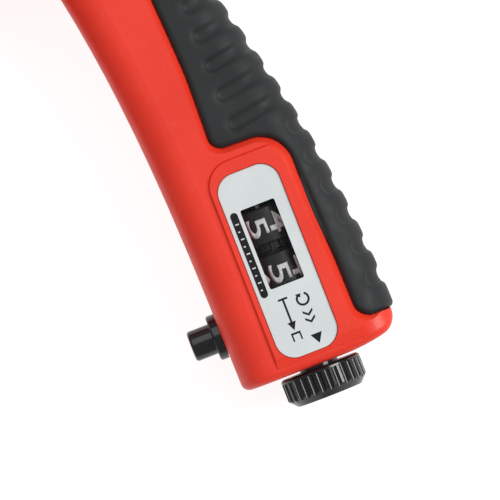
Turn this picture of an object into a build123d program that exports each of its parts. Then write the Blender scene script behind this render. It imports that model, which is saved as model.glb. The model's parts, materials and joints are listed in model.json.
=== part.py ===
from build123d import *
import math
import os

# A squeeze-type punch down tool with a termination counter, lying on its side.
# X points to the palm side, Y from the butt to the head, Z up through the thickness.
# Everything is drawn about the mid plane z = 0, and lifted onto the table at the end.

# ---------------------------------------------------------------- driving dimensions, mm
HALF_THICKNESS = 12.0     # handle, mid plane to flat side
PANEL_HEIGHT = 12.6       # mid plane to the raised flat areas, which the tool rests on
HANDLE_ROUND = 6.5        # rounding along the handle's edges
WALL = 2.3                # shell wall
RUBBER_DEPTH = 2.4        # how deep the grip sits in the shell
FIT_GAP = 0.15            # between the grip and the edge of its recess

BUTT_Y = -4.8             # flat end of the handle
BUTT_INNER_X = -13.4      # edge that faces the lever, at y = 0
BUTT_PALM_X = 19.9        # palm edge, at y = 0
GRIP_TOP_Y = 92.0         # where the palm grip ends

PIVOT = (-38.0, 102.0)    # lever pivot
BOSS_RADIUS = 14.0        # shell round the pivot
WEB_RADIUS = 12.2         # hollow curve from the handle into the boss
WEB_ANGLE = -72.1         # degrees, where that curve meets the boss
PIVOT_PIN_RADIUS = 4.0
LEVER_SWING = 30.0        # degrees, open to closed
ARM_RADIUS = 14.0         # pivot to drive pin
DRIVE_PIN_RADIUS = 2.0

HEAD_PALM_X = 3.6         # palm side of the head
HEAD_NOSE_X = -46.0       # free end of the head's top arm
HEAD_TOP_Y = 172.0
THROAT_X = -11.0          # back wall of the throat
THROAT_LOW_Y = 120.0      # the carriage comes out here
THROAT_HIGH_Y = 158.8     # underside of the top arm
NEST_SEAT_Y = 154.8       # where the jack's face rests

PLATE_INNER_Z = 5.2       # steel frame plates
PLATE_OUTER_Z = 7.2
CARRIAGE_X = -24.25       # punch axis
STEM_X = (-31.0, -17.5)
STEM_HALF_Z = 5.0

COUNTER_X = 2.0           # counter shaft
COUNTER_Z = 3.4
DRUM_RADIUS = 7.0
DRUM_LENGTH = 7.0
UNITS_Y = 11.25           # near end of each digit drum
TENS_Y = 20.4
SHAFT_RADIUS = 1.5
RUNNING_GAP = 0.05        # radial, shaft in bore
PINION_Z = -5.1           # transfer pinion axis
GEAR_TEETH = 20
PINION_TEETH = 8

PLUNGER_Y = 7.0           # counter push button
PLUNGER_RADIUS = 3.05
PLUNGER_TIP_X = -19.8
PLUNGER_TRAVEL = 3.4

KNOB_RADIUS = 8.1
KNOB_NEAR_Y = -5.4
KNOB_FAR_Y = -11.3
KNOB_RIBS = 30

LABEL_X = (-4.3, 8.1)
LABEL_Y = (-2.1, 35.4)
ISLAND_X = (-6.3, 13.4)
ISLAND_Y = (BUTT_Y + 1.3, 38.9)
WINDOW_X = (-1.4, 5.6)
WINDOW_Y = (11.9, 28.2)

RIVET_RADIUS = 1.5
RIVET_HEAD = 1.2
GUIDE_GAP = 0.1           # punch stem to each guide
CLIP_Z = 7.3              # pivot clips, just outside the plates
CLIP_THICKNESS = 0.8
PIN_END_Z = 8.9
NEST_X = (-38.0, -12.6)
NEST_HALF_Z = 10.0
NEST_LIP = 2.4

LEVER_HALF_THICKNESS = 9.5
LEVER_PLASTIC_START = 15.4    # clears the boss round the pivot
LEVER_GRIP_DEPTH = 2.0
LEVER_SCREW_SINK = 0.8
LEVER_SCREW_TIP_Z = 6.0
CORE_HALF_Z = 1.75
BUSH_BORE = PIVOT_PIN_RADIUS + RUNNING_GAP
DRIVE_PIN_AT = (
    ARM_RADIUS * math.cos(math.radians(LEVER_SWING / 2)),
    ARM_RADIUS * math.sin(math.radians(LEVER_SWING / 2)),
)
STRIKER_AT = (19.0, -95.0)

CARRIAGE_LOW_Y = 93.0
HOLDER_Y = 122.5          # top of the stem, foot of the die holder
HOLDER_HEIGHT = 4.5
DRIVE_PIN_REST_Y = PIVOT[1] - DRIVE_PIN_AT[1]
FIN_PITCH = 3.8
FIN_ROW_Z = 5.5
FIN_HEIGHT = 4.5
BLADE_LENGTH = 19.5
BLADE_HEIGHT = 6.5
DIE_SCREWS = [(CARRIAGE_X - 8.8, 0), (CARRIAGE_X + 8.8, 0)]

CRADLE_Y = (2.0, 32.0)    # counter frame
CRADLE_Z = 8.8
CRADLE_TOP_Z = 7.0
RATCHET_Y = 8.2
PINION_SHAFT_RADIUS = 0.8
NECK_END_Y = -2.3
BUSH_X = (-15.3, -10.9)
COLLAR_RADIUS = 4.55
COLLAR_BACK_X = -13.6
SHOULDER_RADIUS = 3.6
STEM_RADIUS = 1.0

LABEL_BASE_Z = 11.75      # floor of the label's recess
LABEL_CORNER = 3.8
LABEL_GAP = 0.15
LENS_BASE_Z = 10.7
WINDOW_WIDTH = WINDOW_X[1] - WINDOW_X[0]
WINDOW_LENGTH = WINDOW_Y[1] - WINDOW_Y[0]
WINDOW_CENTRE = (sum(WINDOW_X) / 2, sum(WINDOW_Y) / 2)

HEAD_HOLLOW_Z = 9.2
LEVER_SLOT_Z = 2.4
TONGUE_WIDTH = 20.0       # of the nest block, between the frame plates
BUSH_RADIUS = 3.9
NECK_RADIUS = 3.9         # collar behind the reset knob

BOSS_ROUND = 2.4          # screw bosses
BOSS_TOP_Z = HALF_THICKNESS - 1.5
SCREW_RADIUS = 1.2
SCREW_HEAD_RADIUS = 2.1
SCREW_HEAD_HEIGHT = 1.6
SCREW_HEAD_Z = -11.6
SCREW_TIP_Z = 8.5
SCREW_PLAY = 0.25         # radial, in a clearance hole
HEAD_PLAY = 0.3
PRESS_GAP = 0.02          # radial, pressed or glued pieces
SHELL_SCREWS = [(10.0, -0.9), (-5.5, 37.0), (-6.0, 54.0)]
FRAME_SCREWS = [(-8.0, 72.0), (-4.0, 128.0), (-4.0, 165.0), (-37.5, 165.4)]
RIVETS = [(-12.5, 102.5), (-12.5, 113.0), (-33.6, 114.9), (-4.0, 112.0), (-4.0, 148.0)]
NEST_SCREWS = [(-29.0, 165.0), (-19.0, 165.0)]
LEVER_SCREWS = [(5.6, -20.5), (9.6, -40.0), (12.4, -66.0)]    # from the pivot, lever closed

STATIONS = [-9, 4, 18, 32, 46, 60, 74, 88, 104]

LEVER_PLANE = Plane(
    origin=(PIVOT[0], PIVOT[1], 0),
    x_dir=(math.cos(math.radians(LEVER_SWING)), -math.sin(math.radians(LEVER_SWING)), 0),
    z_dir=(0, 0, 1),
)


# ---------------------------------------------------------------- shared shapes
def inner_edge(y):
    """X of the concave edge that faces the lever."""
    return BUTT_INNER_X - 0.010 * y - 4.5 * (y / 78) ** 3


def palm_edge(y):
    """X of the convex edge in the palm, straightening out towards the head."""
    if y <= 0:
        return BUTT_PALM_X
    if y <= 70:
        return BUTT_PALM_X - 10.4 * (y / 70) ** 1.89
    return BUTT_PALM_X - 10.4 - 0.281 * (y - 70) + 0.00275 * (y - 70) ** 2


def facing_head(x, y, z):
    """Plane at a point, its x towards the palm; extruding moves towards the head."""
    return Plane(origin=(x, y, z), x_dir=(1, 0, 0), z_dir=(0, 1, 0))


def facing_palm(x, y, z):
    """Plane at a point, its x towards the head; extruding moves towards the palm."""
    return Plane(origin=(x, y, z), x_dir=(0, 1, 0), z_dir=(1, 0, 0))


def handle_solid(inset):
    """The handle's outer form, moved inward by inset on every side."""
    with BuildPart() as solid:
        for y in STATIONS:
            left = inner_edge(y) + inset
            right = palm_edge(y) - inset
            with BuildSketch(facing_head(0, y, 0)):
                with Locations(((left + right) / 2, 0)):
                    RectangleRounded(
                        right - left,
                        2 * (HALF_THICKNESS - inset),
                        max(HANDLE_ROUND - inset, 1.5),
                    )
        loft()
    return solid.part


def grip_zone(inset):
    """Outline of the palm grip in plan."""
    with BuildSketch() as zone:
        with BuildLine():
            FilletPolyline(
                (30, GRIP_TOP_Y - inset),
                (-3.4 + inset, GRIP_TOP_Y - inset),
                (-1.8 + inset, 56),
                (-2.3 + inset, 40.6 + inset),
                (11.45 + inset, 40.3 + inset),
                (12.25 + inset, 12),
                (12.4 + inset, 0.3 + inset),
                (30, 0.3 + inset),
                radius=[7, 60, 2.6, 6.6, 60, 3.3],
            )
            Line((30, 0.3 + inset), (30, GRIP_TOP_Y - inset))
        make_face()
    return zone.sketch


def coil_spring(origin, direction, mean_radius, wire_radius, length, turns):
    """A helical compression spring starting at origin."""
    run = length - 2 * wire_radius
    with BuildPart() as spring:
        with BuildLine() as centre_line:
            Helix(pitch=run / turns, height=run, radius=mean_radius)
        with BuildSketch(centre_line.line ^ 0):
            Circle(wire_radius)
        sweep(path=centre_line.line, is_frenet=True)
    start = Plane(origin=origin, z_dir=direction).offset(wire_radius)
    return spring.part.moved(start.location)


def screw_row(places, head_z, tip_z, shank_radius, head_radius, head_height):
    """Socket-head screws driven in from below, one at each place."""
    with BuildPart() as screws:
        with BuildSketch(Plane.XY.offset(head_z)):
            with Locations(*places):
                Circle(head_radius)
        extrude(amount=head_height)
        with BuildSketch(Plane.XY.offset(head_z + head_height)):
            with Locations(*places):
                Circle(shank_radius)
        extrude(amount=tip_z - head_z - head_height)
        with BuildSketch(Plane.XY.offset(head_z)):
            with Locations(*places):
                RegularPolygon(head_radius * 0.5, 6)
        extrude(amount=head_height * 0.6, mode=Mode.SUBTRACT)
    return screws


def butt_profile():
    """Plan of the part of the handle that stays: flat butt, rounded palm corner."""
    with BuildSketch() as profile:
        with BuildLine():
            flat = Line((-40, BUTT_Y), (7.5, BUTT_Y))
            slope = TangentArc(flat @ 1, (15.8, -3.9), tangent=flat % 1)
            corner = TangentArc(slope @ 1, (18.95, -0.6), tangent=slope % 1)
            Polyline(corner @ 1, (19.05, 0.5), (30, 0.5), (30, 120), (-40, 120), flat @ 0)
        make_face()
    return profile.sketch


def head_profile():
    """Plan of the head: boss round the pivot, throat open to the lever side, top arm."""
    reach = BOSS_RADIUS + WEB_RADIUS
    web_x = PIVOT[0] + reach * math.cos(math.radians(WEB_ANGLE))
    web_y = PIVOT[1] + reach * math.sin(math.radians(WEB_ANGLE))
    with BuildSketch() as profile:
        with BuildLine():
            web = CenterArc((web_x, web_y), WEB_RADIUS, 8, 172 + WEB_ANGLE)
            boss = CenterArc(PIVOT, BOSS_RADIUS, WEB_ANGLE, -210 - WEB_ANGLE)
            rest = FilletPolyline(
                boss @ 1,
                boss @ 1 + (boss % 1) * (THROAT_LOW_Y - (boss @ 1).Y) / (boss % 1).Y,
                (THROAT_X, THROAT_LOW_Y),
                (THROAT_X, THROAT_HIGH_Y),
                (HEAD_NOSE_X, THROAT_HIGH_Y),
                (HEAD_NOSE_X + 1.5, HEAD_TOP_Y),
                (HEAD_PALM_X, HEAD_TOP_Y),
                (HEAD_PALM_X, 99.5),
                (-3.0, 94.5),
                (-9.5, 91.5),
                (-10.5, 80.0),
                radius=[4, 3.2, 2, 4.5, 7, 11, 6, 10, 5],
            )
            Line(rest @ 1, web @ 0)
        make_face()
    return profile.sketch


# ---------------------------------------------------------------- handle and head shells
handle_skin = handle_solid(0)
handle_core = handle_solid(RUBBER_DEPTH)

with BuildPart() as head_skin:
    with BuildSketch():
        add(head_profile())
    extrude(amount=PANEL_HEIGHT)
    top_edges = head_skin.faces().sort_by(Axis.Z)[-1].edges()
    fillet(top_edges.filter_by(lambda e: e.center().Y > 100 or e.center().X < -20), radius=2.8)

# The recess for the grip, with its rim opened out by a chamfer.
with BuildPart() as grip_recess:
    add(handle_skin)
    add(handle_core, mode=Mode.SUBTRACT)
    with BuildSketch():
        add(grip_zone(0))
    extrude(amount=HALF_THICKNESS + 2, both=True, mode=Mode.INTERSECT)

with BuildPart() as recess_rim:
    with BuildSketch(Plane.XY.offset(HALF_THICKNESS - 1.0)):
        add(grip_zone(0))
    extrude(amount=2.4, taper=-45)

# Raised island that carries the label; it runs out in a ramp at the butt.
with BuildPart() as island:
    with BuildSketch(Plane.XY.offset(HALF_THICKNESS - 1.0)):
        with BuildLine():
            FilletPolyline(
                (ISLAND_X[1], ISLAND_Y[0]),
                (ISLAND_X[1], ISLAND_Y[1]),
                (ISLAND_X[0], ISLAND_Y[1]),
                (ISLAND_X[0], ISLAND_Y[0]),
                radius=[6, 6],
            )
            Line((ISLAND_X[0], ISLAND_Y[0]), (ISLAND_X[1], ISLAND_Y[0]))
        make_face()
    extrude(amount=PANEL_HEIGHT - HALF_THICKNESS + 1.0, taper=30)
    ramp_edge = island.faces().sort_by(Axis.Z)[-1].edges().sort_by(Axis.Y)[0]
    chamfer(ramp_edge, length=0.55, length2=1.6, reference=island.faces().sort_by(Axis.Y)[0])

# Hollow of the handle: wide beside the grip, shallower beneath its recess.
with BuildPart() as handle_hollow:
    add(handle_solid(WALL))
    with BuildSketch() as not_under_grip:
        Rectangle(80, 240)
        add(grip_zone(-1.4), mode=Mode.SUBTRACT)
    extrude(amount=HALF_THICKNESS, both=True, mode=Mode.INTERSECT)
    add(handle_solid(RUBBER_DEPTH + 2.2))
    with BuildSketch():
        with Locations(((-40 + 16.2) / 2, 60 + BUTT_Y + WALL)):
            Rectangle(56.2, 120)
    extrude(amount=HALF_THICKNESS, both=True, mode=Mode.INTERSECT)

# Hollow of the head: room for the steel frame, its rivet heads and the lever's hub.
with BuildPart() as head_hollow:
    with BuildSketch():
        add(head_profile())
        offset(amount=-WALL, mode=Mode.REPLACE)
    extrude(amount=HEAD_HOLLOW_Z)

# Ways through the walls: lever slot, punch stem, nest tongue, counter shaft, plunger bush.
with BuildPart() as wall_openings:
    with BuildSketch():
        with BuildLine():
            Polyline(PIVOT, (-60.0, 88.0), (-60.0, 76.0), (-20.0, 76.0), PIVOT)
        make_face()
    extrude(amount=LEVER_SLOT_Z)
    with BuildSketch():
        with Locations((CARRIAGE_X, THROAT_LOW_Y - 1)):
            Rectangle(STEM_X[1] - STEM_X[0] + 0.6, 6)
        with Locations((CARRIAGE_X, THROAT_HIGH_Y + 1)):
            Rectangle(TONGUE_WIDTH + 0.6, 6)
    extrude(amount=STEM_HALF_Z + 0.35)
    with BuildSketch(facing_palm(PLUNGER_TIP_X, PLUNGER_Y, 0)):
        Circle(BUSH_RADIUS + RUNNING_GAP)
    extrude(amount=10)

with BuildPart() as half_shell:
    add(handle_skin)
    with BuildSketch():
        add(butt_profile())
    extrude(amount=HALF_THICKNESS + 1, both=True, mode=Mode.INTERSECT)
    butt_edges = half_shell.edges().filter_by(GeomType.BSPLINE).filter_by(lambda e: e.center().Y < 0.45)
    fillet(butt_edges, radius=1.6)
    split(bisect_by=Plane.XY, keep=Keep.TOP)
    add(head_skin)
    add(island)
    add(grip_recess, mode=Mode.SUBTRACT)
    add(recess_rim, mode=Mode.SUBTRACT)
    add(handle_hollow, mode=Mode.SUBTRACT)
    add(head_hollow, mode=Mode.SUBTRACT)
    with BuildSketch():
        with Locations(*SHELL_SCREWS):
            Circle(BOSS_ROUND)
    extrude(amount=BOSS_TOP_Z)
    with BuildSketch(Plane.XY.offset(PLATE_OUTER_Z + RUNNING_GAP)):
        with Locations(*FRAME_SCREWS):
            Circle(BOSS_ROUND)
    extrude(amount=BOSS_TOP_Z - PLATE_OUTER_Z - RUNNING_GAP)
    add(wall_openings, mode=Mode.SUBTRACT)

with BuildPart() as counter_shaft_way:
    with BuildSketch(facing_head(COUNTER_X, BUTT_Y - 1, COUNTER_Z)):
        Circle(NECK_RADIUS + 0.3)
    extrude(amount=WALL + 2)

# Upper shell: label recess, window and the blind pilots of the screws.
with BuildPart() as shell_right:
    add(half_shell)
    add(counter_shaft_way, mode=Mode.SUBTRACT)
    with BuildSketch(Plane.XY.offset(LABEL_BASE_Z)):
        with Locations((sum(LABEL_X) / 2, sum(LABEL_Y) / 2)):
            RectangleRounded(
                LABEL_X[1] - LABEL_X[0] + 2 * LABEL_GAP,
                LABEL_Y[1] - LABEL_Y[0] + 2 * LABEL_GAP,
                LABEL_CORNER + LABEL_GAP,
            )
    extrude(amount=2, mode=Mode.SUBTRACT)
    with BuildSketch(Plane.XY.offset(LENS_BASE_Z)):
        with Locations(WINDOW_CENTRE):
            Rectangle(WINDOW_WIDTH + 2.4, WINDOW_LENGTH + 2.4)
    extrude(amount=2, mode=Mode.SUBTRACT)
    with BuildSketch(Plane.XY.offset(HALF_THICKNESS - WALL - 1)):
        with Locations(WINDOW_CENTRE):
            Rectangle(WINDOW_WIDTH + 1.0, WINDOW_LENGTH + 1.6)
    extrude(amount=4, mode=Mode.SUBTRACT)
    with BuildSketch():
        with Locations(*SHELL_SCREWS, *FRAME_SCREWS):
            Circle(SCREW_RADIUS + RUNNING_GAP)
    extrude(amount=SCREW_TIP_Z + HEAD_PLAY, mode=Mode.SUBTRACT)

# Lower shell: the same form turned over, with counterbored clearance holes.
with BuildPart() as shell_left:
    add(half_shell.part.mirror(Plane.XY))
    add(counter_shaft_way, mode=Mode.SUBTRACT)
    with BuildSketch(Plane.XY.offset(-PANEL_HEIGHT - 1)):
        with Locations(*SHELL_SCREWS, *FRAME_SCREWS):
            Circle(SCREW_RADIUS + SCREW_PLAY)
    extrude(amount=PANEL_HEIGHT + 1, mode=Mode.SUBTRACT)
    with BuildSketch(Plane.XY.offset(-PANEL_HEIGHT - 1)):
        with Locations(*SHELL_SCREWS, *FRAME_SCREWS):
            Circle(SCREW_HEAD_RADIUS + HEAD_PLAY)
    extrude(amount=SCREW_HEAD_Z + SCREW_HEAD_HEIGHT + PANEL_HEIGHT + 1.02, mode=Mode.SUBTRACT)

shell_screws = screw_row(
    SHELL_SCREWS + FRAME_SCREWS,
    SCREW_HEAD_Z, SCREW_TIP_Z, SCREW_RADIUS, SCREW_HEAD_RADIUS, SCREW_HEAD_HEIGHT,
)

# Grip halves: the palm side of the handle's form, down to the recess floor.
with BuildPart() as grip_right:
    add(handle_skin)
    add(handle_solid(RUBBER_DEPTH - 0.05), mode=Mode.SUBTRACT)
    with BuildSketch():
        add(grip_zone(FIT_GAP))
    extrude(amount=HALF_THICKNESS + 2, both=True, mode=Mode.INTERSECT)
    split(bisect_by=Plane.XY.offset(0.02), keep=Keep.TOP)

with BuildPart() as grip_left:
    add(grip_right.part.mirror(Plane.XY))


# ---------------------------------------------------------------- steel frame and head
def frame_profile():
    """Plan of one frame plate: tail in the handle, pivot cheek, spine, top arm."""
    with BuildSketch() as profile:
        with BuildLine():
            FilletPolyline(
                (-12.2, 61.0),
                (-3.4, 61.0),
                (-2.2, 84.0),
                (-2.4, 97.0),
                (0.6, 103.0),
                (0.6, 169.4),
                (-41.5, 169.4),
                (-41.5, 161.4),
                (-8.4, 161.4),
                (-8.4, 117.4),
                (-36.6, 117.4),
                (-45.0, 110.0),
                (-40.0, 91.4),
                (-27.0, 92.6),
                (-17.0, 88.0),
                radius=[1.5] * 5 + [9, 5] + [1.5] * 8,
                close=True,
            )
        make_face()
        with Locations(PIVOT):
            Circle(11.0)
            Circle(PIVOT_PIN_RADIUS + RUNNING_GAP, mode=Mode.SUBTRACT)
        with Locations(*RIVETS, *NEST_SCREWS):
            Circle(RIVET_RADIUS + RUNNING_GAP, mode=Mode.SUBTRACT)
        with Locations(*FRAME_SCREWS):
            Circle(SCREW_RADIUS + SCREW_PLAY, mode=Mode.SUBTRACT)
    return profile.sketch


def headed_pins(places, shank_radius, head_radius):
    """Pins through both frame plates with a domed head on each face."""
    with BuildPart() as pins:
        with BuildSketch(Plane.XY.offset(-PLATE_OUTER_Z)):
            with Locations(*places):
                Circle(shank_radius)
        extrude(amount=2 * PLATE_OUTER_Z)
        for face_z in (PLATE_OUTER_Z, -PLATE_OUTER_Z - RIVET_HEAD):
            with BuildSketch(Plane.XY.offset(face_z)):
                with Locations(*places):
                    Circle(head_radius)
            extrude(amount=RIVET_HEAD)
        rims = pins.edges().filter_by(GeomType.CIRCLE).group_by(Axis.Z)
        fillet(rims[0] + rims[-1], radius=0.6)
    return pins


with BuildPart() as frame_plate_right:
    with BuildSketch(Plane.XY.offset(PLATE_INNER_Z)):
        add(frame_profile())
    extrude(amount=PLATE_OUTER_Z - PLATE_INNER_Z)

with BuildPart() as frame_plate_left:
    with BuildSketch(Plane.XY.offset(-PLATE_OUTER_Z)):
        add(frame_profile())
    extrude(amount=PLATE_OUTER_Z - PLATE_INNER_Z)

with BuildPart() as spine_spacer:
    with BuildSketch(Plane.XY.offset(-PLATE_INNER_Z)):
        with BuildLine():
            FilletPolyline(
                (STEM_X[1] + GUIDE_GAP, 98.0),
                (-5.0, 98.0),
                (-1.0, 106.0),
                (-1.0, 117.2),
                (STEM_X[1] + GUIDE_GAP, 117.2),
                radius=[2, 3, 1, 1, 1],
                close=True,
            )
        make_face()
        with Locations(*RIVETS):
            Circle(RIVET_RADIUS + RUNNING_GAP, mode=Mode.SUBTRACT)
    extrude(amount=2 * PLATE_INNER_Z)

with BuildPart() as guide_block:
    with BuildSketch(Plane.XY.offset(-PLATE_INNER_Z)):
        with Locations(((STEM_X[0] - GUIDE_GAP - 36.2) / 2, 114.9)):
            Rectangle(STEM_X[0] - GUIDE_GAP + 36.2, 4.6)
        with Locations(*RIVETS):
            Circle(RIVET_RADIUS + RUNNING_GAP, mode=Mode.SUBTRACT)
    extrude(amount=2 * PLATE_INNER_Z)

with BuildPart() as spine_sleeve:
    with BuildSketch(Plane.XY.offset(-PLATE_INNER_Z)):
        with Locations(RIVETS[-1]):
            Circle(3.0)
            Circle(RIVET_RADIUS + RUNNING_GAP, mode=Mode.SUBTRACT)
    extrude(amount=2 * PLATE_INNER_Z)

frame_rivets = headed_pins(RIVETS, RIVET_RADIUS, 2.5)
nest_screws = headed_pins(NEST_SCREWS, RIVET_RADIUS, 2.8)

# Pivot pin with a groove at each end for its clips.
with BuildPart() as lever_pivot_pin:
    with BuildSketch(Plane.XY.offset(-PIN_END_Z)):
        with Locations(PIVOT):
            Circle(PIVOT_PIN_RADIUS)
    extrude(amount=2 * PIN_END_Z)
    chamfer(lever_pivot_pin.faces().sort_by(Axis.Z)[-1].edges(), length=0.4)
    chamfer(lever_pivot_pin.faces().sort_by(Axis.Z)[0].edges(), length=0.4)
    for groove_z in (CLIP_Z, -CLIP_Z - CLIP_THICKNESS):
        with BuildSketch(Plane.XY.offset(groove_z - RUNNING_GAP)):
            with Locations(PIVOT):
                Circle(PIVOT_PIN_RADIUS + 1)
                Circle(PIVOT_PIN_RADIUS - 0.6, mode=Mode.SUBTRACT)
        extrude(amount=CLIP_THICKNESS + 2 * RUNNING_GAP, mode=Mode.SUBTRACT)

with BuildPart() as pivot_clips:
    for clip_z in (CLIP_Z, -CLIP_Z - CLIP_THICKNESS):
        with BuildSketch(Plane.XY.offset(clip_z)):
            with Locations(PIVOT):
                Circle(PIVOT_PIN_RADIUS + 1.6)
                Circle(PIVOT_PIN_RADIUS - 0.5, mode=Mode.SUBTRACT)
            with Locations((PIVOT[0], PIVOT[1] + 4)):
                Rectangle(4.5, 6, mode=Mode.SUBTRACT)
        extrude(amount=CLIP_THICKNESS)

# The jack's nest hangs under the top arm: a seat with a lip on each side.
with BuildPart() as nest_block:
    with BuildSketch(Plane.XY.offset(-NEST_HALF_Z)):
        with Locations(((NEST_X[0] + NEST_X[1]) / 2, (NEST_SEAT_Y + THROAT_HIGH_Y - 0.2) / 2)):
            Rectangle(NEST_X[1] - NEST_X[0], THROAT_HIGH_Y - 0.2 - NEST_SEAT_Y)
    extrude(amount=2 * NEST_HALF_Z)
    for lip_z in (-NEST_HALF_Z, NEST_HALF_Z - NEST_LIP):
        with BuildSketch(Plane.XY.offset(lip_z)):
            with Locations(((NEST_X[0] + NEST_X[1]) / 2, NEST_SEAT_Y - 2.3)):
                Rectangle(NEST_X[1] - NEST_X[0], 5)
        extrude(amount=NEST_LIP)
    fillet(nest_block.edges().filter_by(Axis.Z), radius=0.8)
    with BuildSketch(Plane.XY.offset(-STEM_HALF_Z)):
        with Locations((CARRIAGE_X, THROAT_HIGH_Y + 4.6)):
            Rectangle(TONGUE_WIDTH, 10)
        with Locations(*NEST_SCREWS):
            Circle(RIVET_RADIUS + RUNNING_GAP, mode=Mode.SUBTRACT)
    extrude(amount=2 * STEM_HALF_Z)


# ---------------------------------------------------------------- lever (drawn closed)
def lever_outline(inset):
    """Plan of the closed lever's plastic, measured from the pivot."""
    with BuildSketch() as outline:
        with BuildLine():
            inner = ThreePointArc((9.4, -12.0), (18.0, -52.0), (19.3, -104.0))
            tip = ThreePointArc(inner @ 1, (9.2, -108.6), (-1.0, -103.0))
            outer = ThreePointArc(tip @ 1, (1.6, -72.0), (-6.8, -12.0))
            Line(outer @ 1, inner @ 0)
        make_face()
        Circle(LEVER_PLASTIC_START, mode=Mode.SUBTRACT)
        fillet(outline.vertices(), radius=4.2)
        if inset:
            offset(amount=-inset, kind=Kind.INTERSECTION, mode=Mode.REPLACE)
    return outline.sketch


def core_outline(gap):
    """Plan of the lever's steel core, measured from the pivot, lever closed."""
    with BuildSketch() as outline:
        Circle(9.0)
        with Locations(DRIVE_PIN_AT):
            Circle(3.6)
        with Locations((DRIVE_PIN_AT[0] / 2, DRIVE_PIN_AT[1] / 2)):
            Rectangle(ARM_RADIUS, 7.0, rotation=LEVER_SWING / 2)
        with BuildLine():
            FilletPolyline(
                (-6.0, -2.0), (-1.5, -18.0), (3.5, -40.0), (6.0, -70.0),
                (15.4, -70.0), (14.6, -50.0), (11.5, -32.0), (7.6, -18.0), (7.0, -2.0),
                radius=[20, 40, 1.5, 1.5, 40, 30, 20],
            )
            Line((7.0, -2.0), (-6.0, -2.0))
        make_face()
        if gap:
            offset(amount=gap, mode=Mode.REPLACE)
    return outline.sketch


def lever_half(inset, rounding):
    """Upper half of the lever's plastic form, moved inward by inset."""
    with BuildPart() as half:
        with BuildSketch(LEVER_PLANE):
            add(lever_outline(inset))
        extrude(amount=LEVER_HALF_THICKNESS - inset)
        fillet(half.faces().sort_by(Axis.Z)[-1].edges(), radius=rounding)
    return half.part


def lever_grip_zone(inset):
    """Outline of the lever's grip in plan, on the side away from the handle."""
    with BuildSketch(LEVER_PLANE) as zone:
        with BuildLine():
            FilletPolyline(
                (-40.0, -97.0 + inset),
                (7.5 - inset, -97.0 + inset),
                (9.8 - inset, -72.0),
                (8.0 - inset, -50.0),
                (4.5 - inset, -31.0 - inset),
                (-40.0, -31.0 - inset),
                radius=[5, 60, 60, 4],
            )
            Line((-40.0, -31.0 - inset), (-40.0, -97.0 + inset))
        make_face()
    return zone.sketch


lever_form = lever_half(0, 3.6)
lever_grip_floor = lever_half(LEVER_GRIP_DEPTH, 1.4)

with BuildPart() as lever_recess:
    add(lever_form)
    add(lever_grip_floor, mode=Mode.SUBTRACT)
    with BuildSketch():
        add(lever_grip_zone(0))
    extrude(amount=LEVER_HALF_THICKNESS + 1, mode=Mode.INTERSECT)

# Lever shell: solid ends, a hollow middle, and a pocket for the steel core.
with BuildPart() as lever_half_shell:
    add(lever_form)
    add(lever_recess, mode=Mode.SUBTRACT)
    with BuildSketch(LEVER_PLANE):
        with BuildLine():
            FilletPolyline(
                (-0.6, -20.5), (4.9, -52.0), (5.7, -72.0), (4.2, -98.0),
                (15.0, -98.0), (14.6, -72.0), (13.6, -52.0), (7.8, -20.5),
                radius=1.8,
                close=True,
            )
        make_face()
    extrude(amount=LEVER_HALF_THICKNESS - LEVER_GRIP_DEPTH - 2.0, mode=Mode.SUBTRACT)
    with BuildSketch(LEVER_PLANE.offset(CORE_HALF_Z + RUNNING_GAP)):
        with Locations(*LEVER_SCREWS):
            Circle(3.6)
    extrude(amount=LEVER_HALF_THICKNESS - 2.5 - CORE_HALF_Z)
    with BuildSketch(LEVER_PLANE):
        add(core_outline(RUNNING_GAP))
    extrude(amount=CORE_HALF_Z + RUNNING_GAP, mode=Mode.SUBTRACT)

with BuildPart() as lever_shell_right:
    add(lever_half_shell)
    with BuildSketch(LEVER_PLANE):
        with Locations(*LEVER_SCREWS):
            Circle(SCREW_RADIUS + RUNNING_GAP)
    extrude(amount=LEVER_SCREW_TIP_Z + HEAD_PLAY, mode=Mode.SUBTRACT)

with BuildPart() as lever_shell_left:
    add(lever_half_shell.part.mirror(Plane.XY))
    with BuildSketch(LEVER_PLANE.offset(-LEVER_HALF_THICKNESS - 1)):
        with Locations(*LEVER_SCREWS):
            Circle(SCREW_RADIUS + SCREW_PLAY)
    extrude(amount=LEVER_HALF_THICKNESS + 1, mode=Mode.SUBTRACT)
    with BuildSketch(LEVER_PLANE.offset(-LEVER_HALF_THICKNESS - 1)):
        with Locations(*LEVER_SCREWS):
            Circle(SCREW_HEAD_RADIUS + HEAD_PLAY)
    extrude(amount=1 + LEVER_SCREW_SINK + SCREW_HEAD_HEIGHT + PRESS_GAP, mode=Mode.SUBTRACT)

lever_screws = screw_row(
    [LEVER_PLANE.from_local_coords(place) for place in LEVER_SCREWS],
    -LEVER_HALF_THICKNESS + LEVER_SCREW_SINK,
    LEVER_SCREW_TIP_Z, SCREW_RADIUS, SCREW_HEAD_RADIUS, SCREW_HEAD_HEIGHT,
)

with BuildPart() as lever_grip_right:
    add(lever_form)
    add(lever_half(LEVER_GRIP_DEPTH - 0.05, 1.4), mode=Mode.SUBTRACT)
    with BuildSketch():
        add(lever_grip_zone(FIT_GAP))
    extrude(amount=LEVER_HALF_THICKNESS + 1, mode=Mode.INTERSECT)
    split(bisect_by=Plane.XY.offset(0.02), keep=Keep.TOP)

with BuildPart() as lever_grip_left:
    add(lever_grip_right.part.mirror(Plane.XY))

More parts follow.
